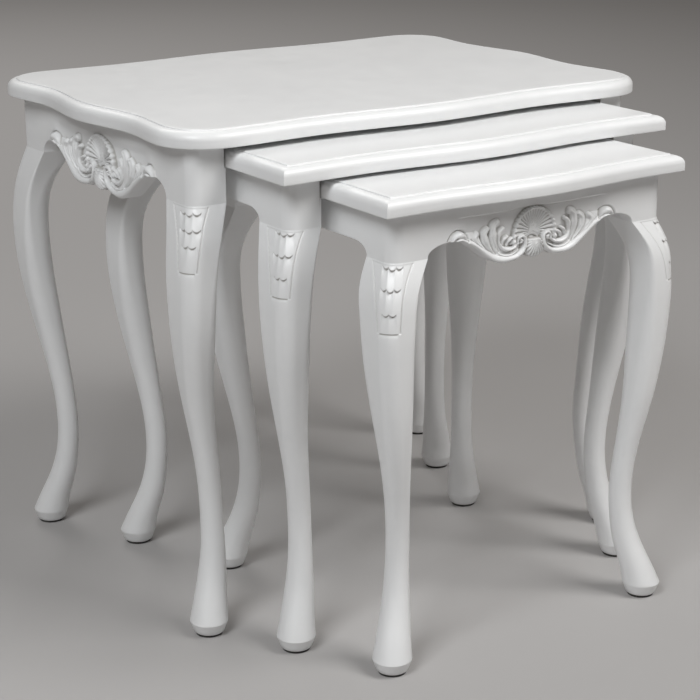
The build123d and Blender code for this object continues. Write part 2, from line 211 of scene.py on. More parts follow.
height = mathNode(lacquerGroup, "MULTIPLY_ADD", grain, groupIn.outputs["Grain Amount"],
                  mathNode(lacquerGroup, "MULTIPLY", stipple, filmLook["stippleWeight"]))
link(tone, groupOut.inputs["Tone"])
link(cloud, groupOut.inputs["Gloss Mask"])
link(height, groupOut.inputs["Height"])

# linear colours; the last two are painted shade for carved hollows, and a darker grey for the slot walls
lacquerLook = {
    "bright": (0.865, 0.872, 0.875, 1.0),
    "shade": (0.835, 0.843, 0.848, 1.0),
    # painted shade for carved hollows, grooves and gouge stops
    "paintedHollowShade": (0.40, 0.385, 0.36, 1.0),
    "slotWall": (0.52, 0.50, 0.47, 1.0),
    "specular": 0.45, "hollowDull": 0.16, "slotDull": 0.35,
}


def mixColour(tree, factor, first, second):
    # first times one less the factor, plus second times the factor; a tuple is a colour, else a socket
    node = addNode(tree, "ShaderNodeMix", data_type="RGBA")
    for socket, value in ((node.inputs[0], factor), (node.inputs[6], first), (node.inputs[7], second)):
        if isinstance(value, tuple):
            socket.default_value = value
        else:
            tree.links.new(value, socket)
    return node.outputs[2]


def mapRange(tree, value, fromLow, fromHigh, toLow, toHigh):
    # straight line from one range to the other, held at its ends
    node = addNode(tree, "ShaderNodeMapRange")
    for key, number in zip(("From Min", "From Max", "To Min", "To Max"), (fromLow, fromHigh, toLow, toHigh)):
        node.inputs[key].default_value = number
    tree.links.new(value, node.inputs["Value"])
    return node.outputs[0]


def newMaterial(name):
    # the material, its tree, its shader and the Object coordinates
    material = bpy.data.materials.new(name)
    material.use_nodes = True
    tree = material.node_tree
    return material, tree, tree.nodes["Principled BSDF"], addNode(tree, "ShaderNodeTexCoord").outputs["Object"]


def setBump(tree, shader, height, distance, strength):
    # tilts the normal by the slope of the height
    node = addNode(tree, "ShaderNodeBump")
    node.inputs["Distance"].default_value = distance
    node.inputs["Strength"].default_value = strength
    tree.links.new(height, node.inputs["Height"])
    tree.links.new(node.outputs[0], shader.inputs["Normal"])


def makeLacquer(name, stretch, grainAmount, roughLow, roughHigh, paintedHollowShade=False, slotWallMask=False):
    # off-white satin film; carved hollows get painted shade by their mask, and slot walls a darker, duller grey
    # where their mask is one
    material, tree, shader, place = newMaterial(name)
    film = addNode(tree, "ShaderNodeGroup", node_tree=lacquerGroup)
    tree.links.new(place, film.inputs["Vector"])
    film.inputs["Grain Stretch"].default_value = stretch
    film.inputs["Grain Amount"].default_value = grainAmount
    colour = mixColour(tree, mapRange(tree, film.outputs["Tone"], 0.35, 0.65, 0, 1),
                       lacquerLook["shade"], lacquerLook["bright"])
    rough = mapRange(tree, film.outputs["Gloss Mask"], 0.3, 0.7, roughLow, roughHigh)
    if paintedHollowShade:
        # painted shade: the hollow's mask darkens the colour and dulls the gloss
        depth = addNode(tree, "ShaderNodeAttribute", attribute_name="paintedHollowShade").outputs["Fac"]
        colour = mixColour(tree, depth, colour, lacquerLook["paintedHollowShade"])
        rough = mathNode(tree, "MULTIPLY_ADD", depth, lacquerLook["hollowDull"], rough)
    if slotWallMask:
        # slot walls: a darker, duller grey where the mask is one
        bare = addNode(tree, "ShaderNodeAttribute", attribute_name="slotWallMask").outputs["Fac"]
        colour = mixColour(tree, bare, colour, lacquerLook["slotWall"])
        rough = mathNode(tree, "MULTIPLY_ADD", bare, lacquerLook["slotDull"], rough)
    tree.links.new(colour, shader.inputs["Base Color"])
    tree.links.new(rough, shader.inputs["Roughness"])
    shader.inputs["Specular IOR Level"].default_value = lacquerLook["specular"]
    setBump(tree, shader, film.outputs["Height"], filmLook["bumpDistance"], filmLook["bumpStrength"])
    return material


# how the grain is stretched, how much of it shows, and the roughness from and to
topLacquer = makeLacquer("topLacquer", (0.5, 3.0, 3.0), 0.10, 0.32, 0.36)
legLacquer = makeLacquer("legLacquer", (9.0, 9.0, 0.6), 0.30, 0.30, 0.42, paintedHollowShade=True, slotWallMask=True)
sideLacquer = makeLacquer("sideLacquer", (9.0, 0.6, 9.0), 0.30, 0.30, 0.42)
frontLacquer = makeLacquer("frontLacquer", (0.6, 9.0, 9.0), 0.30, 0.30, 0.42)
carvedLacquer = makeLacquer("carvedLacquer", (4.0, 4.0, 4.0), 0.18, 0.30, 0.40, paintedHollowShade=True)


beechLook = {"stretch": (18.0, 1.6, 18.0), "streakScale": 22.0, "fleckScale": 120.0, "roughness": (0.62, 0.78),
             "dark": (0.50, 0.36, 0.23, 1), "pale": (0.66, 0.51, 0.36, 1), "fleck": (0.34, 0.22, 0.13, 1)}


def makeBeech():
    # pale bare beech: long streaks of stretched noise, short dark flecks, open dry surface
    material, tree, shader, place = newMaterial("bareBeech")
    stretch = addNode(tree, "ShaderNodeMapping")
    stretch.inputs["Scale"].default_value = beechLook["stretch"]
    tree.links.new(place, stretch.inputs["Vector"])
    streak = noiseNode(tree, stretch.outputs[0], beechLook["streakScale"], 6.0, 0.6)
    fleck = noiseNode(tree, stretch.outputs[0], beechLook["fleckScale"], 2.0)
    colour = mixColour(tree, mapRange(tree, streak, 0.3, 0.7, 0, 1), beechLook["dark"], beechLook["pale"])
    colour = mixColour(tree, mapRange(tree, fleck, 0.60, 0.72, 0, 0.5), colour, beechLook["fleck"])
    tree.links.new(colour, shader.inputs["Base Color"])
    rough = mapRange(tree, streak, 0.3, 0.7, *beechLook["roughness"])
    tree.links.new(rough, shader.inputs["Roughness"])
    setBump(tree, shader, streak, 0.0003, 0.4)
    return material


zincLook = {"crystalScale": 1400.0, "drawnScale": 2600.0, "dark": (0.62, 0.63, 0.64, 1),
            "pale": (0.78, 0.78, 0.76, 1), "roughness": (0.28, 0.46)}


def makeZinc():
    # plated steel: roughness by the distance to the nearest crystal, and fine drawing lines
    material, tree, shader, place = newMaterial("zincSteel")
    shader.inputs["Metallic"].default_value = 1.0
    crystal = addNode(tree, "ShaderNodeTexVoronoi")
    crystal.inputs["Scale"].default_value = zincLook["crystalScale"]
    tree.links.new(place, crystal.inputs["Vector"])
    drawn = noiseNode(tree, place, zincLook["drawnScale"], 3.0)
    tree.links.new(mixColour(tree, drawn, zincLook["dark"], zincLook["pale"]), shader.inputs["Base Color"])
    rough = mapRange(tree, crystal.outputs["Distance"], 0, 0.8, *zincLook["roughness"])
    tree.links.new(rough, shader.inputs["Roughness"])
    setBump(tree, shader, drawn, 0.0001, 0.3)
    return material


glideLook = {"scuffScale": 260.0, "poreScale": 1800.0, "dark": (0.030, 0.028, 0.026, 1),
             "scuffed": (0.10, 0.095, 0.09, 1), "roughness": (0.45, 0.68)}


def makeGlide():
    # dark moulded disc, scuffed grey where its noise is high
    material, tree, shader, place = newMaterial("darkGlide")
    scuff = noiseNode(tree, place, glideLook["scuffScale"], 5.0, 0.65)
    pore = noiseNode(tree, place, glideLook["poreScale"], 2.0)
    worn = mapRange(tree, scuff, 0.45, 0.7, 0, 1)
    tree.links.new(mixColour(tree, worn, glideLook["dark"], glideLook["scuffed"]), shader.inputs["Base Color"])
    tree.links.new(mapRange(tree, scuff, 0.3, 0.7, *glideLook["roughness"]), shader.inputs["Roughness"])
    setBump(tree, shader, pore, 0.0002, 0.4)
    return material


hiddenLooks = {"bare_beech": makeBeech(), "zinc_steel": makeZinc(), "dark_glide": makeGlide()}
for node, item in nodes.items():
    kind = ("zinc_steel" if node.endswith("screws") else "dark_glide" if node.endswith("glides")
            else "bare_beech" if node.endswith(("dowels", "batten")) else None)
    if kind:
        item.data.materials.clear()
        item.data.materials.append(hiddenLooks[kind])
print("materials ready")


def measure(name, own):
    # every place is taken from the boxes of the nodes: half the box, less what stands proud of it
    topLow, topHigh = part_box(name + "_top")
    padLow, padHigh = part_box(name + "_foot_glides")
    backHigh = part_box(name + "_back_apron")[1]
    sideLow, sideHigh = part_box(name + "_left_apron")
    y, underside = (padLow.y + padHigh.y) / 2 / mm, topLow.z / mm
    footX = padHigh.x / mm - legShape["glideRadius"]
    footY = (padHigh.y - padLow.y) / 2 / mm - legShape["glideRadius"]
    halfX, halfY = backHigh.x / mm, (sideHigh.y - sideLow.y) / 2 / mm
    table = dict(
        own, name=name, body=name + "_table", y=y, footX=footX, footY=footY, halfX=halfX, halfY=halfY,
        faceX=footX + own["proud"], faceY=footY + own["proud"], innerX=footX - halfX, innerY=footY - halfY,
        topX=topHigh.x / mm - own["sideWave"][2], topFront=y - topLow.y / mm - own["frontWave"][2],
        topBack=topHigh.y / mm - y - own["backWave"][2], underside=underside,
        arris=underside - own["arrisDrop"])
    if own["holds"]:
        table["slotFloor"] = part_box(own["holds"] + "_top")[0].z / mm - slotRoom
    return table


legShape = {
    "glideRadius": 14.0, "glideHeight": 3.0, "baseRadius": 15.9, "ringRadius": 20.4, "ringHeight": 15.0,
    "ankleHeight": 125.0, "postRound": 15.0, "jointEase": 0.05, "openEase": 1.6,
    "slotDeep": 2.2, "slotStop": 16.0, "notchShare": 0.002, "crease": 38.0, "footTuck": 0.985, "edgeTuck": 0.5,
    # points in the outer round, beside it, in each other round and on the inner sides; rows at the knee
    "frontCounts": (49, 38, 9, 7), "backCounts": (21, 7, 9, 7), "frontKneeRows": 165, "backKneeRows": 46,
    "ringRows": 18, "ringSpan": 24.0, "shinRows": 74, "shinStart": 26.0, "shinStop": 84.0, "kneeStart": 82.5,
    # rise, out, inX, inY, outer, side and inner radii, then the shares of shin and knee easing
    "slices": np.array([
        (0.00, 20.4, -20.4, -20.4, 20.1, 20.1, 20.1, 0.00, 0.00),
        (0.14, 14.8, -21.9, -21.9, 18.0, 18.0, 18.0, 0.00, 0.00),
        (0.41, 3.6, -27.1, -27.1, 15.0, 15.0, 15.0, 0.00, 0.00),
        (0.68, -4.0, -30.0, -30.0, 12.7, 12.7, 12.7, 0.05, 0.00),
        (1.00, -6.9, -31.2, -31.2, 11.8, 11.8, 11.8, 0.30, 0.00),
        (1.16, -3.2, -28.4, -28.4, 12.2, 12.2, 12.2, 0.62, 0.03),
        (1.34, 7.3, -22.4, -25.2, 13.2, 13.5, 14.0, 1.00, 0.30),
        (1.51, 17.6, -17.0, -24.4, 15.0, 13.0, 18.5, 0.75, 0.80),
        (1.63, 22.3, -13.8, -24.4, 16.0, 10.5, 21.0, 0.38, 1.00),
        (1.72, 23.5, -12.8, -25.4, 16.5, 8.0, 22.0, 0.20, 0.95),
        (1.81, 22.4, -13.8, -27.6, 17.0, 5.0, 22.0, 0.08, 0.75),
        (1.90, 17.6, -19.4, -34.0, 16.5, 3.0, 16.0, 0.00, 0.40)]),
}

topShape = {
    "cornerRound": 55.0, "crease": 50.0, "cornerPoints": 30, "longPoints": 150, "shortPoints": 110,
    "wavePoints": 160, "plainPoints": 60,
    # the edge as inset and height over the underside: arris, ovolo, small step and scored line
    "arris": [(20, 0), (3, 0), (1.2, 0), (0.5, 0.15), (0.15, 0.5), (0, 1.2), (0, 4.5)],
    "ovoloStart": 7.8, "ovoloWide": 8.9, "ovoloHigh": 8.8,
    "step": [(9.7, 16.62), (10.3, 16.55), (10.75, 16.75), (10.95, 17.2), (11.05, 17.65), (11.3, 17.93),
             (11.7, 18), (12.7, 18), (12.95, 17.72), (13.2, 17.72), (13.45, 18), (14.5, 18), (20, 18)],
    "fieldShares": (0.03, 0.25, 0.5, 0.75, 0.92),
}

# A wave is where its hollow lies as a share of the run, how far it draws in, and the swell at the middle.
straight = (0.25, 0.0, 0.0)
tableShapes = {
    "large": {"arrisDrop": 60.0, "archRise": 19.0, "ease": (0.0, 4.0, 11.0), "proud": 7.7, "setback": 5.0,
              "frontWave": (0.22, 4.2, 5.1), "backWave": (0.22, 4.2, 5.1), "sideWave": (0.20, 6.4, 4.8),
              "holds": "middle", "carvingScale": 1.16, "bandStep": 9.0,
              "panel": {"middle": 5.7, "step": 9.5, "rows": ((6.8, 3), (22.3, 3), (38.0, 2)), "length": 64.0}},
    "middle": {"arrisDrop": 51.0, "archRise": 12.0, "ease": (3.0, 6.0, 5.0), "proud": 6.0, "setback": 0.0,
               "frontWave": (0.20, 3.0, 6.4), "backWave": straight, "sideWave": straight,
               "holds": "small", "carvingScale": 1.0, "bandStep": 4.0,
               "panel": {"middle": 7.4, "step": 8.4, "rows": ((3.6, 3), (23.4, 3), (45.6, 2)), "length": 65.0}},
    "small": {"arrisDrop": 49.0, "archRise": 12.0, "ease": (5.0, 7.0, -2.5), "proud": 4.3, "setback": 0.0,
              "frontWave": (0.17, 0.2, 8.8), "backWave": straight, "sideWave": straight,
              "holds": None, "carvingScale": 1.0, "bandStep": 2.4,
              "panel": {"middle": 0.3, "step": 7.6, "rows": ((4.0, 3), (23.2, 3), (47.0, 2)), "length": 65.5}},
}
tables = {name: measure(name, own) for name, own in tableShapes.items()}
for name, table in tables.items():
    print(name, *(f"{key} {table[key]:.1f}" for key in ("y", "footX", "footY", "topX", "topFront", "slotFloor")
                  if key in table))


def wavyEdge(start, end, wave, count):
    # a straight run with a cubic swing across it: in by the dip near both ends, out by the bow at the middle
    start, end = np.asarray(start, float), np.asarray(end, float)
    length = np.hypot(*(end - start))
    along = (end - start) / length
    outward = np.array([along[1], -along[0]])
    share = np.linspace(0, 1, count, endpoint=False)
    place, dip, bow = wave
    swing = splineThrough([0, place, 0.5, 1 - place, 1], [0, -dip, bow, -dip, 0], share, 0.0, 0.0)
    return start + share[:, None] * (end - start) + swing[:, None] * outward


def topOutline(table, inset):
    # the edge's plan line, drawn in by inset: the waves, and on the large top a quarter circle at each corner
    x, front, back = table["topX"] - inset, table["topFront"] - inset, table["topBack"] - inset
    if table["name"] != "large":
        corners = ((x, -front), (x, back), (-x, back), (-x, -front))
        plain = [np.linspace(start, end, topShape["plainPoints"], endpoint=False)
                 for start, end in zip(corners, corners[1:])]
        waved = wavyEdge((-x, -front), (x, -front), table["frontWave"], topShape["wavePoints"])
        return np.concatenate([waved] + plain)
    r = topShape["cornerRound"] - inset
    farX, farFront, farBack = x - r, front - r, back - r
    turn = np.radians(np.linspace(0, 90, topShape["cornerPoints"], endpoint=False))
    longCount, shortCount = topShape["longPoints"], topShape["shortPoints"]
    parts = []
    for start, end, centre, first, wave, count in (
            ((-farX, -front), (farX, -front), (farX, -farFront), -90, table["frontWave"], longCount),
            ((x, -farFront), (x, farBack), (farX, farBack), 0, table["sideWave"], shortCount),
            ((farX, back), (-farX, back), (-farX, farBack), 90, table["backWave"], longCount),
            ((-x, farBack), (-x, -farFront), (-farX, -farFront), 180, table["sideWave"], shortCount)):
        parts.append(wavyEdge(start, end, wave, count))
        angle = turn + math.radians(first)
        parts.append(np.stack([centre[0] + r * np.cos(angle), centre[1] + r * np.sin(angle)], axis=1))
    return np.concatenate(parts)


def edgeProfile():
    # the ovolo is a quarter of an ellipse between the arris and the step
    quarter = np.radians(np.linspace(0, 90, 15))
    ovolo = np.stack([topShape["ovoloWide"] * (1 - np.cos(quarter)),
                      topShape["ovoloStart"] + topShape["ovoloHigh"] * np.sin(quarter)], axis=1)
    return np.concatenate([topShape["arris"], ovolo, topShape["step"]])


def makeTop(table):
    # each ring is the plan line at one inset of the edge profile; the flat fields shrink it towards the middle
    rings = []
    for inset, height in edgeProfile():
        line = topOutline(table, inset)
        rings.append(np.column_stack([line[:, 0], line[:, 1] + table["y"],
                                      np.full(len(line), table["underside"] + height)]))
    rings = np.array(rings)
    share = np.array(topShape["fieldShares"])[:, None, None]
    fields = [ring.mean(0) + share * (ring - ring.mean(0)) for ring in (rings[0], rings[-1])]
    rings = np.concatenate([fields[0], rings, fields[1][::-1]])
    piece = closedSkin(table["name"] + "MouldedTop", rings, topShape["crease"])
    dress(piece, table, table["name"] + "_top", topLacquer)


for table in tables.values():
    makeTop(table)
print("tops ready")


kneePanel = {
    # the two side lines: how far each lies from the panel's middle at these drops under the arris
    "drops": (0.0, 16.0, 33.0, 49.0, 66.0), "sideLine": (28.5, 23.0, 18.2, 15.0, 12.6),
    "frontLine": (22.6, 17.4, 14.6, 13.4, 12.6), "sunk": 0.5, "grooveWide": 0.7, "grooveDeep": 0.9,
    "gougeDeep": 2.1, "gougeFade": 7.5, "gougeShare": 0.54, "gougePower": 0.55, "cutSoft": 0.8, "smile": 2.6,
    "middleLower": 1.0, "stopDeep": 1.6, "stopFade": 2.2, "paintedLineShade": 0.45, "reachDown": 76, "reachAcross": 40,
}


def fadingCut(past, start, fade):
    # nothing before the stop, full depth just past it, then less like an exponential
    return smoothStep(past / kneePanel["cutSoft"] + start) * np.exp(-np.clip(past, 0, None) / fade)


def panelRelief(across, drop, panel):
    # gouge cuts: sharp at a smile-shaped stop, a power of one less the square across, and fading downward; the
    # tone it returns is painted shade in the grooves and under the stops
    across = across - panel["middle"]
    place = np.clip(drop, 0, kneePanel["drops"][-1])
    toSide = splineThrough(kneePanel["drops"], kneePanel["sideLine"], place) - across
    toFront = splineThrough(kneePanel["drops"], kneePanel["frontLine"], place) + across
    toEnd = panel["length"] - drop
    started = smoothStep((drop - 1.0) / 1.2)
    above = smoothStep(toEnd / 1.2 + 0.5)
    within = np.minimum(np.minimum(toSide, toFront), toEnd)
    relief = -kneePanel["sunk"] * smoothStep(within / 0.6 + 0.5) * started
    line = (0.7 * np.exp(-(toSide / kneePanel["grooveWide"]) ** 2)
            + np.exp(-(toFront / kneePanel["grooveWide"]) ** 2)) * started * above
    relief -= kneePanel["grooveDeep"] * line
    # painted shade along the two side grooves
    tone = kneePanel["paintedLineShade"] * line
    for place, count in panel["rows"]:
        for number in range(count):
            aside = number - (count - 1) / 2
            lean = (across - aside * panel["step"]) / (panel["step"] * kneePanel["gougeShare"])
            lower = 0.0 if aside else kneePanel["middleLower"]
            past = drop - place - lower + kneePanel["smile"] * (lean ** 2 - 0.4)
            hollow = np.clip(1 - lean ** 2, 0, 1) ** kneePanel["gougePower"]
            relief -= kneePanel["gougeDeep"] * hollow * fadingCut(past, 0.3, kneePanel["gougeFade"])
            # painted shade just under each gouge's stop
            tone = np.maximum(tone, hollow * np.exp(-((past - 0.5) / kneePanel["cutSoft"]) ** 2))
    past = -toEnd
    ends = smoothStep((np.minimum(toSide, toFront) - 1.5) / 2.0)
    relief -= kneePanel["stopDeep"] * fadingCut(past, 0.5, kneePanel["stopFade"]) * ends
    # painted shade under the stop at the panel's end
    tone = np.maximum(tone, ends * np.exp(-((past - 0.4) / 0.7) ** 2))
    return relief, tone


def cornerLine(out, inward, radius, start, count):
    # a quarter round of its own radius at one corner of the section
    middle = math.radians(start + 45)
    centreX = out - radius * np.sign(math.cos(middle))
    centreY = inward - radius * np.sign(math.sin(middle))
    turn = np.radians(start + np.linspace(0, 90, count))
    return np.stack([centreX[:, None] + radius[:, None] * np.cos(turn),
                     centreY[:, None] + radius[:, None] * np.sin(turn)], axis=-1)


def sectionLoop(outX, outY, inX, inY, outer, sideX, sideY, inner, counts, notch=None):
    # four quarter rounds joined by straights, one loop for each row
    arcs = [cornerLine(outX, outY, outer, 0, counts[0]), cornerLine(inX, outY, sideX, 90, counts[2]),
            cornerLine(inX, inY, inner, 180, counts[2]), cornerLine(outX, inY, sideY, 270, counts[2])]
    parts = []
    for number, arc in enumerate(arcs):
        following = arcs[(number + 1) % 4]
        fine = number in (0, 3)
        share = np.linspace(0, 1, (counts[1] if fine else counts[3]) + 2)[1:-1]
        if number == 1 and notch is not None:
            reach = (arc[-1, -1, 1] - notch) / (arc[-1, -1, 1] - following[-1, 0, 1])
            share = np.sort(np.append(share, (reach - legShape["notchShare"], reach + legShape["notchShare"])))
        run = arc[:, -1:] + share[None, :, None] * (following[:, :1] - arc[:, -1:])
        parts += [arc, run]
    return np.concatenate(parts, axis=1)


def legRows(table, front):
    # heights are closest where the knee is carved and at the arris
    arris, under = table["arris"], table["underside"]
    ring, start = legShape["ringHeight"], legShape["glideHeight"]
    foot = [start, start + 0.5, start + 4, ring - 1.2, ring - 0.4]
    lower = [*np.linspace(ring, ring + legShape["ringSpan"], legShape["ringRows"]),
             *np.linspace(ring + legShape["shinStart"], arris - legShape["shinStop"], legShape["shinRows"])]
    kneeRows = legShape["frontKneeRows" if front else "backKneeRows"]
    knee = [*np.linspace(arris - legShape["kneeStart"], arris - 0.5, kneeRows)]
    post = [arris, arris + 0.5, arris + 2, arris + 10]
    rest = [table["slotFloor"]] * 2 + [under - 6, under] if table["holds"] else [under - 23, under - 6, under]
    return np.array(foot + lower + knee + post + rest)


def legSection(table, front, heights):
    # the slice values run through a cubic in height up to the arris and stay as they are above it
    ring, ankle, arris = legShape["ringHeight"], legShape["ankleHeight"], table["arris"]
    slices = legShape["slices"]
    knots = np.where(slices[:, 0] <= 1, ring + slices[:, 0] * (ankle - ring),
                     ankle + (slices[:, 0] - 1) * (arris - ankle))
    sideEase, kneeEase, shinEase = table["ease"]
    backX = slices[:, 8] * sideEase
    backY = slices[:, 7] * shinEase + slices[:, 8] * kneeEase if front else np.zeros(len(slices))
    out, inX, inY = slices[:, 1], slices[:, 2], slices[:, 3]
    values = np.column_stack([out - backX, out - backY, inX - backX, inY - backY, slices[:, 4], slices[:, 5],
                              slices[:, 5], slices[:, 6]])
    proud = table["proud"]
    outY = proud - table["setback"] if front else proud
    sideways = legShape["jointEase"]
    facing = legShape["openEase"] if front and table["holds"] else legShape["jointEase"]
    post = [proud, outY, -table["innerX"], -table["innerY"], legShape["postRound"], facing, sideways, 1.5]
    knots, values = np.append(knots, arris), np.vstack([values, post])
    section = splineThrough(knots, values, np.clip(heights, ring, arris))
    section[:, 4:] = np.maximum(section[:, 4:], legShape["jointEase"])
    below = heights < ring
    radius = np.interp(heights, (legShape["glideHeight"], ring),
                       (legShape["baseRadius"], legShape["ringRadius"]))
    section[below, :2] = radius[below, None]
    section[below, 2:4] = -radius[below, None]
    section[below, 4:] = radius[below, None] * legShape["footTuck"]
    section[0] += legShape["edgeTuck"] * np.array([-1, -1, 1, 1, -1, -1, -1, -1])
    return section


def makeLeg(table, stepX, stepY, name, node):
    # loops of the section up the leg, mirrored into their corner, with the knee's relief along the normals
    front = stepY < 0
    heights = legRows(table, front)
    section = legSection(table, front, heights)
    counts = legShape["frontCounts" if front else "backCounts"]
    backward = table["proud"] - legShape["slotStop"]
    notch = backward if table["holds"] and not front else None
    loops = sectionLoop(*section.T, counts, notch)
    rings = np.dstack([loops, np.repeat(heights[:, None], loops.shape[1], axis=1)])
    masks = {"paintedHollowShade": np.zeros(rings.shape[:2]), "slotWallMask": np.zeros(rings.shape[:2])}
    if front:
        upward = np.gradient(rings, axis=0)
        onward = (np.roll(rings, -1, axis=1) - np.roll(rings, 1, axis=1)) / 2
        normal = np.cross(onward, upward)
        normal /= np.maximum(np.linalg.norm(normal, axis=2, keepdims=True), 1e-9)
        run = np.cumsum(np.linalg.norm(np.diff(rings, axis=1, append=rings[:, :1]), axis=2), axis=1)
        run = np.roll(run, 1, axis=1)
        total = run[:, :1].copy()
        run[:, 0] = 0
        middle = counts[0] // 2
        across = (run - run[:, middle:middle + 1] + total / 2) % total - total / 2
        drop = table["arris"] - heights[:, None] + np.zeros_like(across)
        near = (drop > 0) & (drop < kneePanel["reachDown"]) & (np.abs(across) < kneePanel["reachAcross"])
        relief, tone = panelRelief(across * stepX, drop, table["panel"])
        rings = rings + normal * np.where(near, relief, 0)[:, :, None]
        # painted shade of the knee's grooves and gouge stops
        masks["paintedHollowShade"] = np.where(near, np.clip(tone, 0, 1), 0)
    if table["holds"]:
        reached = np.zeros(len(heights), bool)
        reached[np.flatnonzero(heights == table["slotFloor"])[1]:] = True
        wall = legShape["slotDeep"] - table["innerX"]
        inside = reached[:, None] & (rings[:, :, 0] < wall)
        if not front:
            inside &= rings[:, :, 1] < backward
        rings[:, :, 0] = np.where(inside, wall, rings[:, :, 0])
        # mask of the slot walls, which take the darker grey
        masks["slotWallMask"] = inside.astype(float)
    rings = rings * (stepX, stepY, 1) + (stepX * table["footX"], table["y"] + stepY * table["footY"], 0)
    piece = closedSkin(name, rings, legShape["crease"], masks, merge=True)
    dress(piece, table, node, legLacquer)


for table in tables.values():
    for corner, stepX, stepY in (("front_left", -1, -1), ("front_right", 1, -1), ("back_left", -1, 1),
                                 ("back_right", 1, 1)):
        makeLeg(table, stepX, stepY, table["name"] + corner.title().replace("_", "") + "Leg",
                table["name"] + "_" + corner + "_leg")
print("legs ready")


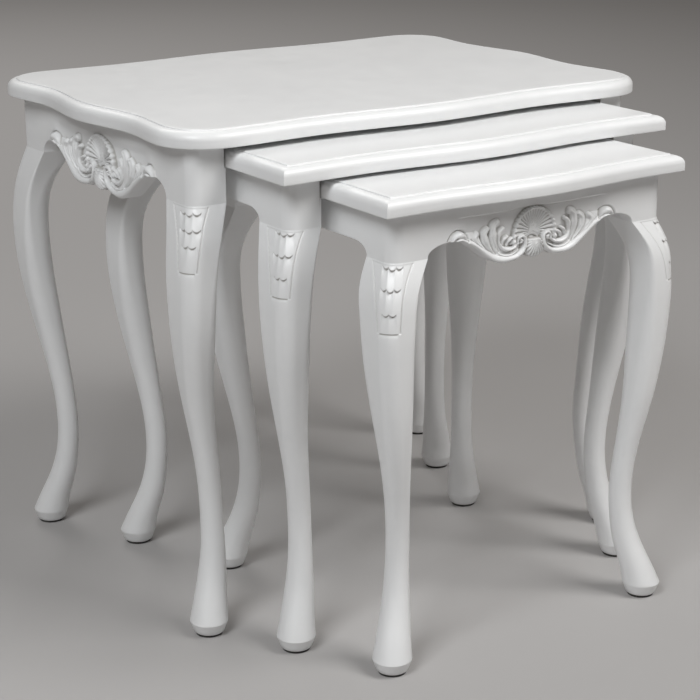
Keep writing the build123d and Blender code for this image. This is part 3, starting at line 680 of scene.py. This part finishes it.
# Points are (along from the middle, drop under the top), for the right half. Bodies, leaf and scrolls also
# give half width and height at their start, middle and end; veins and cuts give width and depth.
carving = {
    "edge": [(0, 66.8), (6, 66.1), (11.5, 63.4), (13.6, 61.8)],
    "rimEdge": [(13.6, 61.8), (16.5, 63.8), (21, 66.0), (28, 67.3), (36, 67.6), (44, 66.4), (52, 63.4),
                (58, 59.6), (66, 53.6), (74, 47.6), (80, 43.7), (86, 40.6), (94, 37.6), (102, 36.8)],
    "groundTop": 13.5, "groundSink": 2.2, "groundStart": 97.0, "groundFade": 15.0,
    "broaden": 1.2, "lift": 1.35,
    "beadSteps": 34, "beadMargin": 4, "bodyPower": 1.4, "cutSteps": 24, "cutMargin": 3,
    # shell: rim radius and its growth, the floor and power of the bowl, ribs counted over the turn
    "fanCentre": (0.0, 40.0), "fanRim": 24.8, "fanGrowth": 2.6, "fanScallop": 0.7, "fanFloor": -1.6,
    "fanBowl": 3.3, "fanPower": 2.2, "fanLip": 1.4, "lipWide": 0.06, "fanEnd": 118,
    "ribHeight": 2.6, "ribLevel": 0.62, "ribStart": 0.06, "ribRise": 0.22, "ribFall": 0.05,
    "ribTurns": (0, 50, 118), "ribCounts": (0, 5.4, 10.9),
    # palmette: radius of its lip over the turn, flutes to the half turn, height of crown and flutes
    "palmetteTop": (0.0, 47.5), "lipTurns": (0, 22, 34, 42, 52, 65, 80, 90),
    "lipRadii": (19.2, 19.0, 18.2, 17.0, 15.0, 12.0, 9.2, 7.8), "flutes": 13.0, "fluteHeight": 2.5,
    "fluteLevel": 0.6, "fluteNotch": 0.05, "crownBase": 0.8, "crownHeight": 3.9, "crownPower": 5,
    # broad soft swellings that carry the leaf's strands
    "bodies": [
        ([(30, 61), (43, 57), (52, 48), (53, 38)], (7, 12, 9), (0.4, 1, 0.4)),
        ([(44, 59), (58, 51), (70, 44.5), (84, 38), (98, 35)], (7.5, 10, 5), (1, 1.1, 0.6)),
    ],
    "leaf": [
        # the long strand to the tip, then four rounded lobes towards the shell
        ([(53, 59.5), (66, 51), (78, 42.6), (88, 37), (94, 35)], (1.2, 3.2, 2.6), (1, 2.2, 2.2)),
        ([(51, 58), (62, 50.5), (70.6, 43.5), (74.4, 36.6), (71.8, 33.4)], (1.2, 3.7, 2.9), (0.9, 2.3, 1.7)),
        ([(48, 57), (57, 47.5), (61.8, 39.5), (62.4, 33.4), (58.8, 30.2)], (1.2, 4.2, 3.2), (0.9, 2.6, 1.8)),
        ([(44.5, 56), (50, 45), (51.8, 34.5), (50.2, 26.6), (46, 24.6)], (1.2, 4.5, 3.4), (0.9, 2.9, 2)),
        ([(44.4, 48), (44.8, 40.5), (43.2, 34), (39.6, 31.4)], (0.8, 2.3, 1.9), (0.8, 2.1, 2)),
    ],
    "scrolls": [
        # rolled leaf tip and the small curl under it
        ([(84.6, 39), (87, 34.4), (92, 31.6), (97.8, 32.4), (101.2, 36.2)],
         (1.4, 3.6, 1.8), (1.4, 3.8, 2.4)),
        ([(89, 37.2), (93, 35.6), (97, 36.6)], (0.5, 1, 0.7), (3.2, 4, 3)),
        # small lobes inside the scroll
        ([(39.6, 47.4), (38.4, 43), (34.6, 40.4)], (0.9, 1.8, 1.4), (0.6, 1.8, 1.7)),
        ([(34.6, 49.6), (33, 45.6), (29.2, 43.2)], (0.9, 1.8, 1.4), (0.6, 1.8, 1.7)),
        ([(28.8, 49.4), (27.4, 46.2), (24.4, 44.4)], (0.8, 1.5, 1.2), (0.6, 1.6, 1.5)),
        # outer and inner crescent of the scroll
        ([(49, 45), (47.8, 51), (43, 56.8), (35, 59.4), (27, 59), (20.4, 55.6)],
         (0.4, 1.2, 0.7), (0.8, 2.1, 1.4)),
        ([(43, 36.5), (44.8, 42), (42.8, 48), (37.8, 52.4), (31.4, 53.8), (25.4, 52.6), (21.4, 49.4)],
         (0.6, 2.2, 1.2), (0.9, 3, 1.9)),
        # the great scroll: eye, over the top, down beside the palmette, along the edge to the tip
        ([(20.8, 49.6), (21.4, 46.4), (19, 43.4), (15.4, 42.9), (12.4, 45.2), (11.8, 49.6), (12.8, 54.4),
          (15.6, 58.4), (19.8, 61)], (1.3, 2.1, 2.6), (1.9, 3.1, 3)),
        ([(16.6, 59.4), (21, 61.9), (28, 63.2), (36, 63.4), (44, 62.1), (52, 59), (58, 55.4)],
         (2.2, 3.9, 3.4), (2.6, 3.4, 3)),
        ([(55, 57.4), (66, 50.2), (74, 44.7), (80, 41.2), (86, 38.5), (94, 36.2), (101.5, 35.6)],
         (3.5, 2.3, 1.4), (3, 2.4, 1.6)),
        ([(17.6, 49.2), (16.4, 47.4), (17.9, 46.1)], (1.3, 1.7, 1.3), (2.2, 2.9, 2.4)),
    ],
    # furrows between the lobes, then the fine ones that part each lobe into strands
    "veins": [
        ([(47, 55.5), (54.6, 46), (57.2, 38), (56.2, 30.6)], 0.70, 1.5),
        ([(49.4, 57.4), (60, 49), (66.6, 41.4), (67.6, 34.8)], 0.70, 1.5),
        ([(52, 59), (64.4, 51), (75, 42.8), (79.6, 37.4)], 0.70, 1.4),
        ([(45.2, 55), (51.2, 45), (53.6, 35.6), (52, 27), (48.6, 23.6)], 0.60, 1.25),
        ([(44.2, 54.5), (48.6, 44), (49.6, 34.6), (47.8, 27.6), (44.6, 25.8)], 0.60, 1.25),
        ([(48.6, 57), (58.6, 48.2), (64, 39.8), (64, 33.4), (60.6, 29.4)], 0.60, 1.25),
        ([(47.6, 56.2), (56, 46.9), (60, 39.2), (60.2, 33.6), (57.6, 31.4)], 0.60, 1.25),
        ([(51.4, 58.4), (63.2, 51), (72.4, 43.2), (76.2, 36.6), (73.4, 32.4)], 0.60, 1.15),
        ([(50.4, 57.4), (61, 49.5), (69, 42.4), (72.2, 36.8), (70.4, 34.4)], 0.60, 1.15),
        ([(54, 60.2), (67, 52), (79, 43.8), (89, 38)], 0.60, 1.15),
        ([(53, 58.8), (65, 50.2), (77, 41.8), (87.6, 36.2)], 0.60, 1.15),
    ],
    # deep cuts round the leaf tip, inside the scroll and over the palmette
    "cuts": [
        ([(83, 39.2), (84, 33.2), (89.2, 28.2), (96.6, 27.2), (102.6, 30.4), (106, 36)], 0.9, 1.9),
        ([(22.4, 45.6), (23.4, 49), (21.6, 53)], 0.8, 1.2),
        ([(-5, 46.6), (-2.4, 45.2), (2.4, 45.2), (5, 46.6)], 0.9, 2.2),
    ],
}


farBelow = -9.0         # height where a shape isn't


def nearest(x, y, line):
    # distance from each point to the closest short run of the line, and how far along it that is
    start, step = line[:-1, :2], np.diff(line[:, :2], axis=0)
    away = np.stack([x, y], axis=-1)[:, None] - start
    share = np.clip((away * step).sum(-1) / (step ** 2).sum(-1), 0, 1)
    distance = np.linalg.norm(away - share[..., None] * step, axis=-1)
    closest = distance.argmin(1)
    row = np.arange(len(x))
    return distance[row, closest], (closest + share[row, closest]) / len(step)


def around(x, y, line, margin):
    # the points within the line's upright box, widened by the margin
    low, high = line.min(0) - margin, line.max(0) + margin
    return np.flatnonzero((x > low[0]) & (x < high[0]) & (y > low[1]) & (y < high[1]))


def bead(relief, x, y, points, widths, heights, base, power=0.5):
    # height times a power of one less the square of distance over half width, rounded off at the ends
    line = smoothCurve(points, carving["beadSteps"])
    widths = np.array(widths) * carving["broaden"]
    heights = np.array(heights) * carving["lift"]
    near = around(x, y, line, carving["beadMargin"])
    distance, along = nearest(x[near], y[near], line)
    width = np.interp(along, (0, 0.6, 1), widths)
    height = np.interp(along, (0, 0.6, 1), heights) - base
    crown = np.clip(1 - (distance / width) ** 2, 0, None) ** power
    relief[near] = np.where(distance < width, np.maximum(relief[near], base + height * crown), relief[near])


def carveLines(relief, x, y, lines):
    # a cut as deep as the bell curve of the distance from its line
    for points, width, depth in lines:
        line = smoothCurve(points, carving["cutSteps"])
        near = around(x, y, line, carving["cutMargin"])
        distance, _ = nearest(x[near], y[near], line)
        relief[near] -= depth * np.exp(-(distance / width) ** 2)


def shell(x, y):
    # concave fan: a bowl as a power of the radius, ribs as a cosine of the angle, and a narrow round lip
    centreX, centreY = carving["fanCentre"]
    radius = np.hypot(x - centreX, centreY - y)
    angle = np.degrees(np.arctan2(x - centreX, centreY - y))
    ribs = np.abs(np.cos(np.interp(np.abs(angle), carving["ribTurns"], carving["ribCounts"]) * math.pi))
    rim = carving["fanRim"] + carving["fanGrowth"] * (np.abs(angle) / 93) ** 2 + carving["fanScallop"] * ribs
    share = radius / rim
    ribbed = smoothStep((share - carving["ribStart"]) / carving["ribRise"])
    ribbed *= smoothStep((1.0 - share) / carving["ribFall"])
    height = carving["fanFloor"] + carving["fanBowl"] * share ** carving["fanPower"]
    height += carving["ribHeight"] * (ribs - carving["ribLevel"]) * ribbed
    fromLip = (share - (1 - carving["lipWide"])) / carving["lipWide"]
    height += carving["fanLip"] * np.sqrt(np.clip(1 - fromLip ** 2, 0, None))
    return np.where((share < 1) & (np.abs(angle) < carving["fanEnd"]), height, farBelow)


def palmette(x, y):
    # fluted tongue hanging from its top point: a crown by the radius, flutes as a sine of the angle
    centreX, centreY = carving["palmetteTop"]
    radius = np.hypot(x - centreX, y - centreY)
    angle = np.degrees(np.arctan2(x - centreX, y - centreY))
    flutes = np.abs(np.sin(np.radians(angle) * carving["flutes"] + math.pi / 2))
    lip = np.interp(np.abs(angle), carving["lipTurns"], carving["lipRadii"])
    share = radius / (lip * (1 - carving["fluteNotch"] + carving["fluteNotch"] * flutes))
    crown = np.clip(1 - share ** carving["crownPower"], 0, None) ** 0.5
    swell = np.sin(np.clip(0.25 + share * 0.62, 0, 1) * math.pi) ** 0.7
    height = carving["crownBase"] + carving["crownHeight"] * crown * swell
    fluted = smoothStep((radius - 1.5) / 3) * crown ** 0.5
    height += carving["fluteHeight"] * (flutes - carving["fluteLevel"]) * fluted
    return np.where((share < 1) & (np.abs(angle) < 90), height, farBelow)


def carvedRelief(along, drop, bandStep):
    # ground first, then shell, leaf, veins, scrolls, cuts and palmette, each covering what is lower;
    # slow sines let the two halves differ a little, as handwork does
    wander = 0.5 * np.sin(along * 0.11 + 0.7) + 0.35 * np.sin(drop * 0.17 + along * 0.05)
    x = np.abs(along + wander)
    y = drop + 0.4 * np.sin(along * 0.07 + 1.9)
    ground = -carving["groundSink"]
    fade = smoothStep((carving["groundStart"] - x) / carving["groundFade"])
    relief = ground * smoothStep((y - carving["groundTop"]) / bandStep) * fade
    for points, widths, heights in carving["bodies"]:
        bead(relief, x, y, points, widths, heights, ground, carving["bodyPower"])
    relief = np.maximum(relief, shell(x, y))
    for points, widths, heights in carving["leaf"]:
        bead(relief, x, y, points, widths, heights, ground)
    carveLines(relief, x, y, carving["veins"])
    for points, widths, heights in carving["scrolls"]:
        bead(relief, x, y, points, widths, heights, ground)
    carveLines(relief, x, y, carving["cuts"])
    return np.maximum(relief, palmette(x, y))


def carvedEdge(table, along, half):
    # the lower contour: pendant, cusp, scroll and leaf, then a quarter of an ellipse down to the post's arris
    scale = table["carvingScale"]
    pendant, rim = smoothCurve(carving["edge"], 40) * scale, smoothCurve(carving["rimEdge"], 160) * scale
    tipX, tipY = rim[-1]
    turn = np.radians(np.linspace(0, 90, 50))
    hollow = np.stack([tipX + (half - tipX) * np.sin(turn),
                       tipY + (table["arrisDrop"] - tipY) * (1 - np.cos(turn))], axis=1)
    line = np.concatenate([pendant, rim[1:], hollow[1:]])
    return np.interp(np.abs(along), line[:, 0], line[:, 1])


apronShape = {
    "thick": 18.0, "edgeRound": 1.4, "crease": 48.0,
    # points along and down the face; a carved one has most of them within the carving's reach, under the band
    "carvedGrid": (540, 165), "plainGrid": (120, 26), "carvingReach": 106.0, "carvingColumns": 0.74,
    "bandShare": 0.16,
    "archRun": 1.8, "underShares": (0.25, 0.6, 0.93), "backShares": (0.985, 0.5, 0.0),
    # painted shade in the carving's hollows: smoothing passes, start, gain and most
    "soften": 0.18, "hollowShadeSpread": 14, "hollowShadeStart": 0.10, "hollowShadeGain": 0.60, "hollowShadeMost": 0.85,
}


def plainEdge(table, along, half):
    # level in the middle, then a quarter of an ellipse down to the arris at each post
    rise = table["archRise"]
    run = apronShape["archRun"] * rise
    share = np.clip((np.abs(along) - (half - run)) / run, 0, 1)
    return table["arrisDrop"] - rise * np.sqrt(1 - share ** 2)


def soften(field, own, beside):
    # each height becomes its own share plus the two beside it, across and then along
    field[:, 1:-1] = field[:, 1:-1] * own + (field[:, 2:] + field[:, :-2]) * beside
    field[1:-1] = field[1:-1] * own + (field[2:] + field[:-2]) * beside


def makeApron(table, side, carved):
    # loops of the board's section carried along it: face, lower edge, back and top; hollows of the carving
    # get painted shade by how far they lie under the softened relief
    half = table["halfX"] if side in ("back", "front") else table["halfY"]
    columns, rows = apronShape["carvedGrid" if carved else "plainGrid"]
    turn = np.linspace(-1, 1, columns)
    if carved:
        middle, dense = apronShape["carvingReach"] * table["carvingScale"], apronShape["carvingColumns"]
        outer = np.clip((np.abs(turn) - dense) / (1 - dense), 0, 1)
        along = np.sign(turn) * (np.minimum(np.abs(turn) / dense, 1) * middle
                                 + (half - middle) * np.sin(outer * math.pi / 2))
        band = apronShape["bandShare"]
        share = np.concatenate([np.linspace(0, 1, 5)[:-1] * band, np.linspace(band, 1, rows)])
    else:
        along = half * (turn * 1.5 - turn ** 3 * 0.5)
        share = 1 - (1 - np.linspace(0, 1, rows)) ** 2
    edge = (carvedEdge if carved else plainEdge)(table, along, half)
    drop = edge[:, None] * share
    across = np.repeat(along[:, None], drop.shape[1], axis=1)
    out = np.zeros_like(drop)
    paintedHollowShade = np.zeros_like(drop)
    if carved:
        scale = table["carvingScale"]
        relief = carvedRelief(across.ravel() / scale, drop.ravel() / scale, table["bandStep"])
        out = relief.reshape(drop.shape) * scale
        soften(out, 1 - 2 * apronShape["soften"], apronShape["soften"])
        # painted shade: hollows darken by how far they lie under a much softened copy of the relief
        level = out.copy()
        for _ in range(apronShape["hollowShadeSpread"]):
            soften(level, 1 / 3, 1 / 3)
        paintedHollowShade = (level - out - apronShape["hollowShadeStart"]) * apronShape["hollowShadeGain"]
        paintedHollowShade = np.clip(paintedHollowShade, 0, apronShape["hollowShadeMost"])
    left = np.clip(apronShape["edgeRound"] - (edge[:, None] - drop), 0, apronShape["edgeRound"])
    rounding = apronShape["edgeRound"] - np.sqrt(apronShape["edgeRound"] ** 2 - left ** 2)
    out = out - rounding
    thick = apronShape["thick"]
    last = out[:, -1:]
    lowerOut = last + (-thick - last) * np.array(apronShape["underShares"])
    lowerDrop = np.repeat(edge[:, None], 3, axis=1)
    backDrop = edge[:, None] * np.array(apronShape["backShares"])
    backOut = np.full((columns, 3), -thick)
    loopOut = np.concatenate([out, lowerOut, backOut], axis=1)
    loopDrop = np.concatenate([drop, lowerDrop, backDrop], axis=1)
    loopAlong = np.repeat(along[:, None], loopOut.shape[1], axis=1)
    paintedHollowShade = np.concatenate([paintedHollowShade, np.zeros((columns, 6))], axis=1)
    height = table["underside"] - loopDrop
    if side in ("left", "right"):
        step = -1 if side == "left" else 1
        rings = np.stack([step * (table["faceX"] + loopOut), table["y"] - loopAlong, height], axis=-1)
    else:
        step = -1 if side == "front" else 1
        rings = np.stack([loopAlong, table["y"] + step * (table["faceY"] + loopOut), height], axis=-1)
    name = table["name"] + side.title() + ("Carved" if carved else "Plain") + "Apron"
    piece = closedSkin(name, rings, apronShape["crease"], {"paintedHollowShade": paintedHollowShade})
    material = carvedLacquer if carved else sideLacquer if side in ("left", "right") else frontLacquer
    dress(piece, table, table["name"] + "_" + side + "_apron", material)


for table in tables.values():
    for side in ("left", "right", "front", "back"):
        if table["name"] + "_" + side + "_apron" in nodes:
            makeApron(table, side, carved=side == "front" or (table["name"] == "large" and side != "back"))
print("aprons ready")


studio = {
    "floorHalf": 14.0, "floorColour": (0.44, 0.43, 0.425, 1.0), "floorRoughness": 0.85,
    "air": (1.0, 0.88, 0.77, 1.0), "airStrength": 0.085,
    # name, place, aimed at, size, power, colour
    "lamps": (("rightSoftbox", (0.95, -1.55, 2.45), (0.1, -0.1, 0.3), 1.25, 47.0, (1.0, 0.99, 0.975)),
              ("leftSoftbox", (-2.3, -1.3, 2.75), (0, 0, 0.3), 1.4, 64.0, (0.965, 0.985, 1.0)),
              ("backSoftbox", (0.6, 3.4, 3.2), (0.8, 3.6, 0.0), 2.4, 60.0, (1.0, 0.99, 0.98))),
}

floorMesh = bpy.data.meshes.new("studioFloor")
reach = studio["floorHalf"]
floorCorners = [(-reach, -reach, 0), (reach, -reach, 0), (reach, reach, 0), (-reach, reach, 0)]
floorMesh.from_pydata(floorCorners, [], [(0, 1, 2, 3)])
studioFloor = bpy.data.objects.new("studioFloor", floorMesh)
bpy.context.scene.collection.objects.link(studioFloor)
floorPaint, _, floorShader, _ = newMaterial("floorPaint")
floorShader.inputs["Base Color"].default_value = studio["floorColour"]
floorShader.inputs["Roughness"].default_value = studio["floorRoughness"]
floorMesh.materials.append(floorPaint)

world = bpy.data.worlds.new("studioAir")
world.use_nodes = True
background = world.node_tree.nodes["Background"]
background.inputs["Color"].default_value = studio["air"]
background.inputs["Strength"].default_value = studio["airStrength"]
bpy.context.scene.world = world

for name, place, target, size, power, colour in studio["lamps"]:
    light = bpy.data.lights.new(name, "AREA")
    light.shape, light.size, light.energy, light.color = "SQUARE", size, power, colour
    lamp = bpy.data.objects.new(name, light)
    lamp.location = place
    lamp.rotation_euler = (Vector(target) - Vector(place)).to_track_quat("-Z", "Y").to_euler()
    bpy.context.scene.collection.objects.link(lamp)

# degrees; the lens is in millimetres on a 36 mm sensor
view = {"place": (-1.1871, -1.73665, 0.8958), "turn": -33.87, "tilt": 17.38, "roll": -0.29, "lens": 98.61}
turn, tilt, roll = (math.radians(view[key]) for key in ("turn", "tilt", "roll"))
back = Vector((math.sin(turn) * math.cos(tilt), -math.cos(turn) * math.cos(tilt), math.sin(tilt)))
right = Vector((math.cos(turn), math.sin(turn), 0))
up = back.cross(right)
levelRight = right * math.cos(roll) + up * math.sin(roll)
levelUp = up * math.cos(roll) - right * math.sin(roll)
lens = bpy.data.cameras.new("studioCamera")
lens.lens, lens.sensor_width, lens.clip_start, lens.clip_end = view["lens"], 36.0, 0.05, 60.0
camera = bpy.data.objects.new("studioCamera", lens)
axes = Matrix((levelRight, levelUp, back)).transposed()
camera.matrix_world = Matrix.Translation(view["place"]) @ axes.to_4x4()
bpy.context.scene.collection.objects.link(camera)
bpy.context.scene.camera = camera
bpy.context.scene.view_settings.view_transform = "Standard"
print("studio ready")
